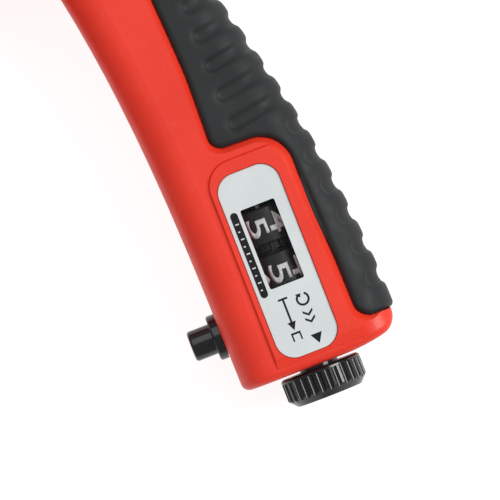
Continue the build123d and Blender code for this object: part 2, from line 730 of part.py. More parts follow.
# Steel core: hub on the pivot, drive arm towards the punch, tang down the lever.
with BuildPart() as lever_core:
    with BuildSketch(LEVER_PLANE.offset(-CORE_HALF_Z)):
        add(core_outline(0))
        Circle(BUSH_BORE + 2.0, mode=Mode.ADD)
        Circle(BUSH_BORE + 1.0 + RUNNING_GAP, mode=Mode.SUBTRACT)
        with Locations(DRIVE_PIN_AT):
            Circle(DRIVE_PIN_RADIUS + PRESS_GAP, mode=Mode.SUBTRACT)
        with Locations(*LEVER_SCREWS):
            Circle(SCREW_RADIUS + SCREW_PLAY, mode=Mode.SUBTRACT)
    extrude(amount=2 * CORE_HALF_Z)

# Flanged bush in two halves, pressed into the hub and running on the pivot pin.
with BuildPart() as lever_bushes:
    with BuildSketch(LEVER_PLANE.offset(-PLATE_INNER_Z + 0.1)):
        Circle(BUSH_BORE + 1.0)
        Circle(BUSH_BORE, mode=Mode.SUBTRACT)
    extrude(amount=2 * PLATE_INNER_Z - 0.2)

with BuildPart() as drive_pin:
    with BuildSketch(LEVER_PLANE.offset(-STEM_HALF_Z + 0.2)):
        with Locations(DRIVE_PIN_AT):
            Circle(DRIVE_PIN_RADIUS)
    extrude(amount=2 * STEM_HALF_Z - 0.4)
    chamfer(drive_pin.edges().filter_by(GeomType.CIRCLE), length=0.3)

# Nylon button on the lever that closes on the counter's plunger.
with BuildPart() as counter_striker:
    with BuildSketch(LEVER_PLANE.offset(-4.0)):
        with Locations(STRIKER_AT):
            RectangleRounded(5.2, 9.0, 1.0)
    extrude(amount=8.0)
    add(lever_form, mode=Mode.SUBTRACT)
    add(lever_form.mirror(Plane.XY), mode=Mode.SUBTRACT)

# Return spring: wound round the bush, between the lever's core and the upper plate.
return_spring = coil_spring((PIVOT[0], PIVOT[1], CORE_HALF_Z + 0.1), (0, 0, 1), 6.0, 0.5, 3.1, 2.0)


# ---------------------------------------------------------------- punch carriage
# Stem with a clevis at its foot; the drive pin works in a slot through both cheeks.
with BuildPart() as carriage:
    with BuildSketch(Plane.XY.offset(-STEM_HALF_Z)):
        with Locations((CARRIAGE_X, (CARRIAGE_LOW_Y + HOLDER_Y) / 2)):
            Rectangle(STEM_X[1] - STEM_X[0], HOLDER_Y - CARRIAGE_LOW_Y)
    extrude(amount=2 * STEM_HALF_Z)
    chamfer(carriage.faces().sort_by(Axis.Y)[0].edges().filter_by(Axis.X), length=0.8)
    with BuildSketch(Plane.XY.offset(-CORE_HALF_Z - 0.1)):
        with Locations((CARRIAGE_X, CARRIAGE_LOW_Y + 8)):
            Rectangle(STEM_X[1] - STEM_X[0] + 2, 22)
    extrude(amount=2 * CORE_HALF_Z + 0.2, mode=Mode.SUBTRACT)
    with BuildSketch(Plane.XY.offset(-STEM_HALF_Z)):
        with Locations((CARRIAGE_X, DRIVE_PIN_REST_Y)):
            SlotOverall(2 * DRIVE_PIN_RADIUS + 1.4, 2 * DRIVE_PIN_RADIUS + 0.2)
    extrude(amount=2 * STEM_HALF_Z, mode=Mode.SUBTRACT)

with BuildPart() as die_holder:
    with BuildSketch(Plane.XZ.offset(-HOLDER_Y)):
        with Locations((CARRIAGE_X, 0)):
            RectangleRounded(22.0, 19.0, 1.6)
        with Locations(*DIE_SCREWS):
            Circle(SCREW_RADIUS + 0.2, mode=Mode.SUBTRACT)
    extrude(amount=-HOLDER_HEIGHT)
    chamfer(die_holder.edges().group_by(Axis.Y)[-1], length=0.3)

# Eight stuffer fins in two rows push the wires into the jack's contacts.
with BuildPart() as stuffer_fins:
    with BuildSketch(Plane.XZ.offset(-HOLDER_Y - HOLDER_HEIGHT)):
        with Locations((CARRIAGE_X, 0)):
            with GridLocations(FIN_PITCH, 2 * FIN_ROW_Z, 4, 2):
                Rectangle(1.5, 3.0)
    extrude(amount=-FIN_HEIGHT)
    fin_tips = Plane(origin=(0, HOLDER_Y + HOLDER_HEIGHT + FIN_HEIGHT, 0), x_dir=(1, 0, 0), z_dir=(0, -1, 0))
    with BuildSketch(fin_tips):
        with Locations((CARRIAGE_X, 0)):
            with GridLocations(FIN_PITCH, 2 * FIN_ROW_Z, 4, 2):
                Rectangle(0.5, 3.2)
    extrude(amount=1.4, mode=Mode.SUBTRACT)

# Trim blades outside the fins, bevelled to an edge on the outer face.
with BuildPart() as trim_blades:
    for side in (-1, 1):
        with BuildSketch(Plane.YZ.offset(CARRIAGE_X - BLADE_LENGTH / 2)):
            with BuildLine():
                low = HOLDER_Y + HOLDER_HEIGHT
                Polyline(
                    (low, side * 8.2),
                    (low + BLADE_HEIGHT, side * 8.2),
                    (low + BLADE_HEIGHT - 1.6, side * 9.0),
                    (low, side * 9.0),
                    close=True,
                )
            make_face()
        extrude(amount=BLADE_LENGTH)

with BuildPart() as die_screws:
    with BuildSketch(Plane.XZ.offset(-HOLDER_Y - 0.1)):
        with Locations(*DIE_SCREWS):
            Circle(SCREW_RADIUS)
    extrude(amount=-HOLDER_HEIGHT + 0.1)
    with BuildSketch(Plane.XZ.offset(-HOLDER_Y - HOLDER_HEIGHT)):
        with Locations(*DIE_SCREWS):
            Circle(1.9)
    extrude(amount=-1.3)
    with BuildSketch(Plane.XZ.offset(-HOLDER_Y - HOLDER_HEIGHT - 1.3)):
        with Locations(*DIE_SCREWS):
            RegularPolygon(1.0, 6)
    extrude(amount=0.8, mode=Mode.SUBTRACT)


# ---------------------------------------------------------------- counter
def shaft_plane(y):
    """Plane across the counter shaft at y."""
    return facing_head(COUNTER_X, y, COUNTER_Z)


def toothed_sketch(teeth, root, tip, base_width, tip_width, turn):
    """A gear outline: a root circle with straight-sided teeth."""
    with BuildSketch() as gear:
        Circle(root)
        with PolarLocations(0, teeth, start_angle=turn):
            Polygon(
                (root - 0.3, -base_width / 2),
                (tip, -tip_width / 2),
                (tip, tip_width / 2),
                (root - 0.3, base_width / 2),
                align=None,
            )
    return gear.sketch


# Cradle that carries the counter's shafts; open towards the window.
with BuildPart() as counter_frame:
    with BuildSketch(Plane.XY.offset(-CRADLE_Z)):
        with BuildLine():
            Polyline(
                (-4.3, CRADLE_Y[0]), (10.2, CRADLE_Y[0]), (10.2, CRADLE_Y[1]),
                (-7.2, CRADLE_Y[1]), (-7.2, 11.3), (-4.3, 11.3), close=True,
            )
        make_face()
    extrude(amount=CRADLE_Z + CRADLE_TOP_Z)
    fillet(counter_frame.edges().filter_by(Axis.Z), radius=0.6)
    with BuildSketch(Plane.XY.offset(-CRADLE_Z + 1.0)):
        with BuildLine():
            Polyline(
                (-3.3, CRADLE_Y[0] + 1), (9.3, CRADLE_Y[0] + 1), (9.3, CRADLE_Y[1] - 1),
                (-6.3, CRADLE_Y[1] - 1), (-6.3, 11.15), (-3.3, 11.15), close=True,
            )
        make_face()
    extrude(amount=CRADLE_Z + CRADLE_TOP_Z, mode=Mode.SUBTRACT)
    with BuildSketch(shaft_plane(CRADLE_Y[0] - 1)):
        Circle(SHAFT_RADIUS + RUNNING_GAP)
    extrude(amount=CRADLE_Y[1] - CRADLE_Y[0] + 2, mode=Mode.SUBTRACT)
    with BuildSketch(shaft_plane(CRADLE_Y[0] - 1)):
        with Locations((0, COUNTER_Z - PINION_Z)):
            Circle(PINION_SHAFT_RADIUS + PRESS_GAP)
    extrude(amount=CRADLE_Y[1] - CRADLE_Y[0] + 2, mode=Mode.SUBTRACT)
    with BuildSketch(facing_palm(-6, PLUNGER_Y, 0)):
        Circle(STEM_RADIUS + 0.3)
    extrude(amount=4, mode=Mode.SUBTRACT)

with BuildPart() as units_wheel:
    with BuildSketch(shaft_plane(UNITS_Y)):
        Circle(DRUM_RADIUS)
    extrude(amount=DRUM_LENGTH)
    chamfer(units_wheel.edges().filter_by(GeomType.CIRCLE), length=0.25)
    with BuildSketch(shaft_plane(UNITS_Y + DRUM_LENGTH - 0.1)):
        Circle(4.4)
        with PolarLocations(0, 2, start_angle=40, angular_range=36):
            with Locations((4.6, 0)):
                Rectangle(1.6, 0.9)
    extrude(amount=0.7)
    with BuildSketch(shaft_plane(UNITS_Y - 1)):
        Circle(SHAFT_RADIUS + RUNNING_GAP)
    extrude(amount=DRUM_LENGTH + 4, mode=Mode.SUBTRACT)

with BuildPart() as ratchet_wheel:
    with BuildSketch(shaft_plane(RATCHET_Y)):
        Circle(3.5)
        with PolarLocations(0, 10):
            Polygon((3.3, -1.0), (4.5, 0.9), (3.3, 0.9), align=None)
        Circle(SHAFT_RADIUS + RUNNING_GAP, mode=Mode.SUBTRACT)
    extrude(amount=UNITS_Y - RATCHET_Y)

with BuildPart() as tens_wheel:
    with BuildSketch(shaft_plane(TENS_Y)):
        Circle(DRUM_RADIUS)
    extrude(amount=DRUM_LENGTH)
    chamfer(tens_wheel.edges().filter_by(GeomType.CIRCLE), length=0.25)
    with BuildSketch(shaft_plane(TENS_Y - 1.4)):
        add(toothed_sketch(GEAR_TEETH, 5.6, 6.4, 1.0, 0.5, 90))
    extrude(amount=1.5)
    with BuildSketch(shaft_plane(TENS_Y - 2)):
        Circle(SHAFT_RADIUS + RUNNING_GAP)
    extrude(amount=DRUM_LENGTH + 4, mode=Mode.SUBTRACT)

# The pinion carries one turn of the units on to the tens.
with BuildPart() as transfer_pinion:
    with BuildSketch(facing_head(COUNTER_X, TENS_Y - 1.45, PINION_Z)):
        add(toothed_sketch(PINION_TEETH, 1.8, 2.6, 0.9, 0.5, 90 + 180 / PINION_TEETH))
        Circle(PINION_SHAFT_RADIUS + RUNNING_GAP, mode=Mode.SUBTRACT)
    extrude(amount=1.3)

with BuildPart() as pinion_shaft:
    with BuildSketch(facing_head(COUNTER_X, CRADLE_Y[0] + 0.1, PINION_Z)):
        Circle(PINION_SHAFT_RADIUS)
    extrude(amount=CRADLE_Y[1] - CRADLE_Y[0] - 0.2)

# Leaf that clicks over the ratchet and keeps the digits in line with the window.
with BuildPart() as detent_spring:
    with BuildSketch(Plane.XZ.offset(-RATCHET_Y - 0.3)):
        with BuildLine():
            Polyline((9.25, -6.0), (9.25, 1.6), (6.85, 3.4), (8.85, 1.3), (8.85, -6.0), close=True)
        make_face()
    extrude(amount=-2.4)

# Spindle of the counter: knob at one end, clip beyond the cradle at the other.
with BuildPart() as reset_shaft:
    with BuildSketch(shaft_plane(KNOB_FAR_Y + 2.5)):
        Circle(SHAFT_RADIUS)
    extrude(amount=CRADLE_Y[1] + 1.4 - KNOB_FAR_Y - 2.5)
    chamfer(reset_shaft.faces().sort_by(Axis.Y)[-1].edges(), length=0.3)

with BuildPart() as shaft_clip:
    with BuildSketch(shaft_plane(CRADLE_Y[1] + 0.1)):
        Circle(2.6)
        Circle(SHAFT_RADIUS + PRESS_GAP, mode=Mode.SUBTRACT)
    extrude(amount=0.6)

with BuildPart() as reset_knob:
    with BuildSketch(Plane.YZ.offset(COUNTER_X)):
        with BuildLine():
            Polyline(
                (KNOB_FAR_Y, COUNTER_Z),
                (KNOB_FAR_Y, COUNTER_Z + KNOB_RADIUS - 1.5),
                (KNOB_FAR_Y + 1.6, COUNTER_Z + KNOB_RADIUS),
                (KNOB_NEAR_Y - 0.4, COUNTER_Z + KNOB_RADIUS),
                (KNOB_NEAR_Y, COUNTER_Z + KNOB_RADIUS - 0.5),
                (KNOB_NEAR_Y, COUNTER_Z),
                close=True,
            )
        make_face()
    revolve(axis=Axis((COUNTER_X, 0, COUNTER_Z), (0, 1, 0)))
    with BuildSketch(shaft_plane(KNOB_FAR_Y + 2.5)):
        Circle(SHAFT_RADIUS + PRESS_GAP)
    extrude(amount=20, mode=Mode.SUBTRACT)
    with BuildSketch(shaft_plane(KNOB_FAR_Y - 1)):
        with PolarLocations(KNOB_RADIUS + 0.15, KNOB_RIBS):
            Circle(0.62)
    extrude(amount=KNOB_NEAR_Y - KNOB_FAR_Y + 0.2, mode=Mode.SUBTRACT)

# Collar on the shaft, through the butt wall: the knob pushes the spring with it.
with BuildPart() as knob_collar:
    with BuildSketch(shaft_plane(KNOB_NEAR_Y)):
        Circle(NECK_RADIUS)
        Circle(SHAFT_RADIUS + RUNNING_GAP, mode=Mode.SUBTRACT)
    extrude(amount=NECK_END_Y - KNOB_NEAR_Y)

with BuildPart() as reset_washer:
    with BuildSketch(shaft_plane(NECK_END_Y + 0.05)):
        Circle(4.9)
        Circle(SHAFT_RADIUS + RUNNING_GAP, mode=Mode.SUBTRACT)
    extrude(amount=0.9)

reset_spring = coil_spring(
    (COUNTER_X, NECK_END_Y + 1.0, COUNTER_Z), (0, 1, 0), 2.7, 0.3, CRADLE_Y[0] - NECK_END_Y - 1.05, 3.0,
)

# Plunger: glossy button outside, shoulder behind the bush, stem into the cradle.
with BuildPart() as plunger:
    with BuildSketch(Plane.XY):
        with BuildLine():
            Polyline(
                (PLUNGER_TIP_X, PLUNGER_Y),
                (PLUNGER_TIP_X, PLUNGER_Y + PLUNGER_RADIUS),
                (BUSH_X[1] + 0.05, PLUNGER_Y + PLUNGER_RADIUS),
                (BUSH_X[1] + 0.05, PLUNGER_Y + SHOULDER_RADIUS),
                (BUSH_X[1] + 0.95, PLUNGER_Y + SHOULDER_RADIUS),
                (BUSH_X[1] + 0.95, PLUNGER_Y + STEM_RADIUS),
                (-1.0, PLUNGER_Y + STEM_RADIUS),
                (-1.0, PLUNGER_Y),
                close=True,
            )
        make_face()
    revolve(axis=Axis((0, PLUNGER_Y, 0), (1, 0, 0)))
    fillet(plunger.faces().sort_by(Axis.X)[0].edges(), radius=0.6)

with BuildPart() as plunger_bush:
    with BuildSketch(Plane.XY):
        with BuildLine():
            Polyline(
                (BUSH_X[0], PLUNGER_Y + PLUNGER_RADIUS + RUNNING_GAP),
                (BUSH_X[0], PLUNGER_Y + COLLAR_RADIUS),
                (COLLAR_BACK_X, PLUNGER_Y + COLLAR_RADIUS),
                (COLLAR_BACK_X, PLUNGER_Y + BUSH_RADIUS),
                (BUSH_X[1], PLUNGER_Y + BUSH_RADIUS),
                (BUSH_X[1], PLUNGER_Y + PLUNGER_RADIUS + RUNNING_GAP),
                close=True,
            )
        make_face()
    revolve(axis=Axis((0, PLUNGER_Y, 0), (1, 0, 0)))
    fillet(plunger_bush.edges().group_by(Axis.X)[0].sort_by(SortBy.LENGTH)[-1], radius=0.5)

plunger_spring = coil_spring(
    (BUSH_X[1] + 1.0, PLUNGER_Y, 0), (1, 0, 0), 2.4, 0.25, -4.35 - BUSH_X[1] - 1.0, 4.5,
)

# Pawl on the plunger's stem, reaching under the ratchet wheel.
with BuildPart() as drive_pawl:
    with BuildSketch(Plane.XZ.offset(-5.7)):
        with BuildLine():
            FilletPolyline((-2.8, -2.9), (-1.1, -2.9), (-1.1, 1.5), (-2.8, 1.5), radius=0.3, close=True)
        make_face()
    extrude(amount=-2.4)
    with BuildSketch(Plane.XZ.offset(-5.7)):
        with BuildLine():
            Polyline(
                (-2.8, -2.9), (4.4, -2.4), (4.4, -1.0), (3.8, -1.0), (3.4, -1.7), (-2.8, -1.6),
                close=True,
            )
        make_face()
    extrude(amount=-5.1)
    with BuildSketch(facing_palm(-4, PLUNGER_Y, 0)):
        Circle(STEM_RADIUS + PRESS_GAP)
    extrude(amount=5, mode=Mode.SUBTRACT)


# ---------------------------------------------------------------- window and label
with BuildPart() as window_lens:
    with BuildSketch(Plane.XY.offset(LENS_BASE_Z)):
        with Locations(WINDOW_CENTRE):
            Rectangle(WINDOW_WIDTH + 2.2, WINDOW_LENGTH + 2.2)
    extrude(amount=LABEL_BASE_Z - LENS_BASE_Z - 0.05)

with BuildPart() as counter_label:
    with BuildSketch(Plane.XY.offset(LABEL_BASE_Z)):
        with Locations((sum(LABEL_X) / 2, sum(LABEL_Y) / 2)):
            RectangleRounded(LABEL_X[1] - LABEL_X[0], LABEL_Y[1] - LABEL_Y[0], LABEL_CORNER)
        with Locations(WINDOW_CENTRE):
            RectangleRounded(WINDOW_WIDTH, WINDOW_LENGTH, 0.4, mode=Mode.SUBTRACT)
    extrude(amount=0.5)


# ---------------------------------------------------------------- hand-over
sub_parts = {
    "shell_right": shell_right.part,
    "shell_left": shell_left.part,
    "grip_right": grip_right.part,
    "grip_left": grip_left.part,
    "shell_screws": shell_screws.part,
    "frame_plate_right": frame_plate_right.part,
    "frame_plate_left": frame_plate_left.part,
    "spine_spacer": spine_spacer.part,
    "spine_sleeve": spine_sleeve.part,
    "guide_block": guide_block.part,
    "frame_rivets": frame_rivets.part,
    "nest_block": nest_block.part,
    "nest_screws": nest_screws.part,
    "lever_pivot_pin": lever_pivot_pin.part,
    "pivot_clips": pivot_clips.part,
    "return_spring": return_spring,
    "lever_core": lever_core.part,
    "lever_bushes": lever_bushes.part,
    "drive_pin": drive_pin.part,
    "lever_shell_right": lever_shell_right.part,
    "lever_shell_left": lever_shell_left.part,
    "lever_grip_right": lever_grip_right.part,
    "lever_grip_left": lever_grip_left.part,
    "lever_screws": lever_screws.part,
    "counter_striker": counter_striker.part,
    "carriage": carriage.part,
    "die_holder": die_holder.part,
    "stuffer_fins": stuffer_fins.part,
    "trim_blades": trim_blades.part,
    "die_screws": die_screws.part,
    "counter_frame": counter_frame.part,
    "units_wheel": units_wheel.part,
    "ratchet_wheel": ratchet_wheel.part,
    "tens_wheel": tens_wheel.part,
    "transfer_pinion": transfer_pinion.part,
    "pinion_shaft": pinion_shaft.part,
    "detent_spring": detent_spring.part,
    "reset_shaft": reset_shaft.part,
    "shaft_clip": shaft_clip.part,
    "reset_knob": reset_knob.part,
    "knob_collar": knob_collar.part,
    "reset_washer": reset_washer.part,
    "reset_spring": reset_spring,
    "plunger": plunger.part,
    "plunger_bush": plunger_bush.part,
    "plunger_spring": plunger_spring,
    "drive_pawl": drive_pawl.part,
    "window_lens": window_lens.part,
    "counter_label": counter_label.part,
}

# The finished tool lies on z = 0 with the middle of its plan at the origin.
copies = [piece.moved(Location()) for piece in sub_parts.values()]
whole = Compound(children=copies).bounding_box()
to_table = Location((-whole.center().X, -whole.center().Y, -whole.min.Z))

os.makedirs("parts", exist_ok=True)
for name, piece in sub_parts.items():
    placed = piece.moved(to_table)
    placed.label = name
    export_step(placed, f"parts/{name}.step")
print("moved by", to_table.position)
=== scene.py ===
"""Looks of the squeeze-type punch down tool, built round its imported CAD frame.

Sizes below are in millimetres in the tool's own drawing frame: X to the palm side,
Y from the butt to the head, Z up from the mid plane. place() turns them into metres
in the row's frame.
"""
import json
import math

import bmesh
import bpy
import numpy as np
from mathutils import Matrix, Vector


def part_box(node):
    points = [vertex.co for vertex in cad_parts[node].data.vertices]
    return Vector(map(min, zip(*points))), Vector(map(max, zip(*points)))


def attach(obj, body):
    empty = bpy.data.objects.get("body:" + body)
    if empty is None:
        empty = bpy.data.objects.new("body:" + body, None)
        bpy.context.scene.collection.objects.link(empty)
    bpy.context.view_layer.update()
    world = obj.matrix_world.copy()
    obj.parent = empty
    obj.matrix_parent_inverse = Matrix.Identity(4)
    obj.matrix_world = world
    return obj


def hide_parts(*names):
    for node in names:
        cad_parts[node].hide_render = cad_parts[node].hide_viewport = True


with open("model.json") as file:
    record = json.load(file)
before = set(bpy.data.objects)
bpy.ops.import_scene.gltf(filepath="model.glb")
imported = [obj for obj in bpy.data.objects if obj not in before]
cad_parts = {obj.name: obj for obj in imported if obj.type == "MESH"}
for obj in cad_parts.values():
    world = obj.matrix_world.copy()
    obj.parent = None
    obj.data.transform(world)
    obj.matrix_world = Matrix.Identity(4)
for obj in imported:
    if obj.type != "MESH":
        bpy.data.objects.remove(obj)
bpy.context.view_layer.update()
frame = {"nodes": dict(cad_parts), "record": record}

# ---------------------------------------------------------------- sizes, mm
MM = 0.001
COUNTER_X = 2.0                # axis of the digit drums
COUNTER_Z = 3.4
SHAFT_LOW_Y = -8.8             # end of the counter's shaft, inside the knob
DRUM_RADIUS = 7.0
UNITS_MIDDLE_Y = 14.4
TENS_MIDDLE_Y = 23.9
DIGIT_HEIGHT = 4.0             # round the drum
DIGIT_WIDTH = 4.3              # along its axis
NARROWEST_FIGURE = 0.45        # in the font's own units
WIDTH_OF_ONE = 0.6             # the same, so that a 1 keeps its slim strokes
DIGIT_BOLDNESS = 0.007
DIGIT_CUT = 0.3                # figures are cut this often to bend round the drum
DIGIT_STEP = math.radians(36)
UNITS_SHOWS_FIVE_AT = math.radians(-4)
TENS_SHOWS_FIVE_AT = math.radians(-12)

HANDLE_HALF = 12.0             # mid plane to the flat side
HANDLE_ROUND = 6.5
SEAM_HALF = 0.02               # half the gap between the right and left grip
RUBBER_BODY = 1.5              # thickness of the rubber sheets
LIP_ROUND = 1.1                # rounding of the rubber's rim
ROUND_COLUMNS = 56             # points across the rounded edge, and across the flat
FLAT_COLUMNS = 44
PALM_GRIP_Y = (0.45, 91.85)
PALM_BEND_Y = 70.0             # the palm edge changes its curve here
PALM_BEND_X = 9.5
PALM_BUTT_X = 19.9
PALM_GROOVE_DEPTH = 0.8
FIRST_GROOVE_Y = 7.0
LOW_GROOVES = 6                # short ones beside the counter
LOW_PITCH = 6.55
LOW_GROOVE_END = 10.7          # length over the surface, from the mid plane
LOW_GROOVE_RADIUS = 3.0
LOW_GROOVE_WALL = 0.8
HIGH_GROOVES = 8               # long ones above the counter
HIGH_PITCH = 5.8
HIGH_GROOVE_LEAD = 0.4         # the first long one sits this much nearer the butt
HIGH_GROOVE_END_X = 3.4        # they end at this X on the flat side
HIGH_GROOVE_SLOPE = 0.16       # the long grooves rise towards the palm
HIGH_GROOVE_BENDS_AT = 10.5
LONG_GROOVE_RADIUS = 2.8
LONG_GROOVE_WALL = 1.0

LEVER_PIVOT = (-38.0, 102.0)
LEVER_TILT = math.radians(-30)
LEVER_HALF = 9.5
LEVER_ROUND = 3.6
LEVER_GRIP_Y = (-96.85, -31.15)
LEVER_EDGE_POINTS = ((-1.0, -103.0), (1.6, -72.0), (-6.8, -12.0))
LEVER_GROOVES = 10
LEVER_GROOVE_DEPTH = 0.6
LEVER_FIRST_GROOVE_Y = -92.0
LEVER_PITCH = 6.2
LEVER_GROOVE_END = 12.6
LEVER_GROOVE_SLOPE = -0.1
LEVER_GROOVE_BENDS_AT = 8.0

LABEL_TOP_Z = 12.25
INK_HEIGHT = 0.02
CAPSULE_X = -2.85              # middle of the black strip beside the window
CAPSULE_Y = (10.8, 28.3)
CAPSULE_HALF = 0.75
TICKS = 10
TICK_PITCH = 1.5
FIRST_TICK_Y = 12.3
TICK_WEIGHT = 0.25
TICK_X = (-3.2, -2.8, -2.5)    # start of every tick, end of a short one, end of a long one
TURN_SIGNS_X = 3.75            # column of the turn-the-knob signs
PUSH_SIGNS_X = 0.1             # column of the push-the-knob signs

VIEW_CENTRE = (-2.3, 20.5)     # what the camera looks at, in plan
VIEW_TURN = math.radians(-21.3)
VIEW_HEIGHT = 1000.0           # camera above the label
VIEW_WIDTH = 96.15             # what fills the frame at the label's height
SENSOR = 36.0
FLOOR_HALF_M = 3.0

shaft_low, shaft_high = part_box("reset_shaft")
origin = Vector((
    (shaft_low.x + shaft_high.x) / 2 - COUNTER_X * MM,
    shaft_low.y - SHAFT_LOW_Y * MM,
    (shaft_low.z + shaft_high.z) / 2 - COUNTER_Z * MM,
))


def place(x, y, z):
    """A point of the drawing frame, in metres in the row's frame."""
    return origin + Vector((x, y, z)) * MM


# ---------------------------------------------------------------- materials
class Finish:
    """A Principled material with a few shorthand calls for its node tree."""

    def __init__(self, name, **sockets):
        self.material = bpy.data.materials.new(name)
        self.material.use_nodes = True
        self.tree = self.material.node_tree
        self.tree.nodes.clear()
        output = self.tree.nodes.new("ShaderNodeOutputMaterial")
        self.shader = self.tree.nodes.new("ShaderNodeBsdfPrincipled")
        self.tree.links.new(self.shader.outputs["BSDF"], output.inputs["Surface"])
        self.coords = self.tree.nodes.new("ShaderNodeTexCoord")
        for socket, value in sockets.items():
            self.shader.inputs[socket.replace("_", " ")].default_value = value

    def stretched(self, stretch):
        mapping = self.tree.nodes.new("ShaderNodeMapping")
        mapping.inputs["Scale"].default_value = stretch
        self.tree.links.new(self.coords.outputs["Object"], mapping.inputs["Vector"])
        return mapping.outputs["Vector"]

    def noise(self, size_mm, detail=3.0, stretch=(1, 1, 1)):
        """Soft noise whose blotches are about size_mm across."""
        node = self.tree.nodes.new("ShaderNodeTexNoise")
        node.inputs["Scale"].default_value = 1000.0 / size_mm
        node.inputs["Detail"].default_value = detail
        self.tree.links.new(self.stretched(stretch), node.inputs["Vector"])
        return node.outputs["Fac"]

    def cells(self, size_mm):
        """Rounded cells about size_mm across, like a spark-eroded mould."""
        node = self.tree.nodes.new("ShaderNodeTexVoronoi")
        node.feature = "SMOOTH_F1"
        node.inputs["Scale"].default_value = 1000.0 / size_mm
        self.tree.links.new(self.coords.outputs["Object"], node.inputs["Vector"])
        return node.outputs["Distance"]

    def remap(self, value, low, high, to_low, to_high):
        node = self.tree.nodes.new("ShaderNodeMapRange")
        node.inputs["From Min"].default_value = low
        node.inputs["From Max"].default_value = high
        node.inputs["To Min"].default_value = to_low
        node.inputs["To Max"].default_value = to_high
        self.tree.links.new(value, node.inputs["Value"])
        return node.outputs["Result"]

    def blend(self, factor, first, second):
        """first where factor is 0, second where it is 1; each a colour or a socket."""
        node = self.tree.nodes.new("ShaderNodeMix")
        node.data_type = "RGBA"
        self.tree.links.new(factor, node.inputs["Factor"])
        for socket, colour in (("A", first), ("B", second)):
            slot = [i for i in node.inputs if i.name == socket and i.type == "RGBA"][0]
            if isinstance(colour, tuple):
                slot.default_value = (*colour, 1.0)
            else:
                self.tree.links.new(colour, slot)
        return [o for o in node.outputs if o.type == "RGBA"][0]

    def band(self, centre_m, half_width_mm):
        """1 on a thin band where the object's Z is centre_m, 0 elsewhere."""
        parts = self.tree.nodes.new("ShaderNodeSeparateXYZ")
        self.tree.links.new(self.coords.outputs["Object"], parts.inputs["Vector"])
        node = self.tree.nodes.new("ShaderNodeMath")
        node.operation = "COMPARE"
        node.inputs[1].default_value = centre_m
        node.inputs[2].default_value = half_width_mm * MM
        self.tree.links.new(parts.outputs["Z"], node.inputs[0])
        return node.outputs["Value"]

    def colour(self, socket):
        self.tree.links.new(socket, self.shader.inputs["Base Color"])

    def roughness(self, socket):
        self.tree.links.new(socket, self.shader.inputs["Roughness"])

    def bump(self, *layers):
        """Layers of (height socket, depth in mm), the first one undermost."""
        normal = None
        for height, depth_mm in layers:
            node = self.tree.nodes.new("ShaderNodeBump")
            node.inputs["Distance"].default_value = depth_mm * MM
            self.tree.links.new(height, node.inputs["Height"])
            if normal:
                self.tree.links.new(normal, node.inputs["Normal"])
            normal = node.outputs["Normal"]
        self.tree.links.new(normal, self.shader.inputs["Normal"])


def red_plastic():
    finish = Finish("red_plastic", Specular_IOR_Level=0.42)
    clouds = finish.remap(finish.noise(22, 3), 0.35, 0.65, 0, 1)
    body = finish.blend(clouds, (0.80, 0.036, 0.014), (0.75, 0.030, 0.011))
    specks = finish.remap(finish.noise(0.9, 2), 0.62, 0.78, 0, 0.35)
    speckled = finish.blend(specks, body, (0.84, 0.072, 0.038))
    # Painted shade: a thin darker red line along the mid plane, where the two shells meet, stands for
    # the shadow in a parting groove that the shells do not have.
    finish.colour(finish.blend(finish.band(origin.z, 0.06), speckled, (0.28, 0.010, 0.006)))
    finish.roughness(finish.remap(finish.noise(7, 4), 0.3, 0.7, 0.38, 0.50))
    finish.bump((finish.noise(9, 2), 0.05), (finish.cells(0.34), 0.014))
    return finish.material


def grip_rubber():
    finish = Finish(
        "grip_rubber", Specular_IOR_Level=0.26, Sheen_Weight=0.03, Sheen_Roughness=0.5,
    )
    clouds = finish.remap(finish.noise(12, 4), 0.35, 0.65, 0, 1)
    body = finish.blend(clouds, (0.015, 0.017, 0.018), (0.021, 0.023, 0.024))
    lint = finish.remap(finish.noise(0.5, 1), 0.80, 0.86, 0, 0.5)
    finish.colour(finish.blend(lint, body, (0.16, 0.16, 0.15)))
    finish.roughness(finish.remap(finish.noise(3, 4), 0.3, 0.7, 0.50, 0.66))
    finish.bump((finish.noise(2.2, 3), 0.03), (finish.cells(0.22), 0.012))
    return finish.material


def moulded(name, light, dark, roughness, grain_mm, grain_depth):
    """A plain moulded plastic: faint clouds, fine grain and drag marks."""
    finish = Finish(name)
    clouds = finish.remap(finish.noise(8, 3), 0.35, 0.65, 0, 1)
    finish.colour(finish.blend(clouds, light, dark))
    streaks = finish.noise(1.6, 4, (1, 0.15, 1))
    finish.roughness(finish.remap(streaks, 0.3, 0.7, roughness[0], roughness[1]))
    finish.bump((finish.noise(grain_mm, 2), grain_depth))
    return finish.material


def label_plate():
    finish = Finish("label_plate", Specular_IOR_Level=0.4)
    clouds = finish.remap(finish.noise(10, 3), 0.35, 0.65, 0, 1)
    body = finish.blend(clouds, (0.64, 0.675, 0.68), (0.60, 0.64, 0.65))
    scuffs = finish.remap(finish.noise(0.7, 5, (1, 0.2, 1)), 0.66, 0.74, 0, 0.4)
    finish.colour(finish.blend(scuffs, body, (0.50, 0.53, 0.54)))
    finish.roughness(finish.remap(finish.noise(1.5, 4), 0.3, 0.7, 0.34, 0.50))
    finish.bump((finish.noise(0.25, 2), 0.006))
    return finish.material


def clear_lens():
    finish = Finish("clear_lens", Alpha=0.10, IOR=1.49)
    clouds = finish.noise(6, 2)
    finish.colour(finish.blend(clouds, (0.030, 0.032, 0.033), (0.022, 0.024, 0.025)))
    finish.roughness(finish.remap(finish.noise(2, 4), 0.3, 0.7, 0.04, 0.12))
    return finish.material


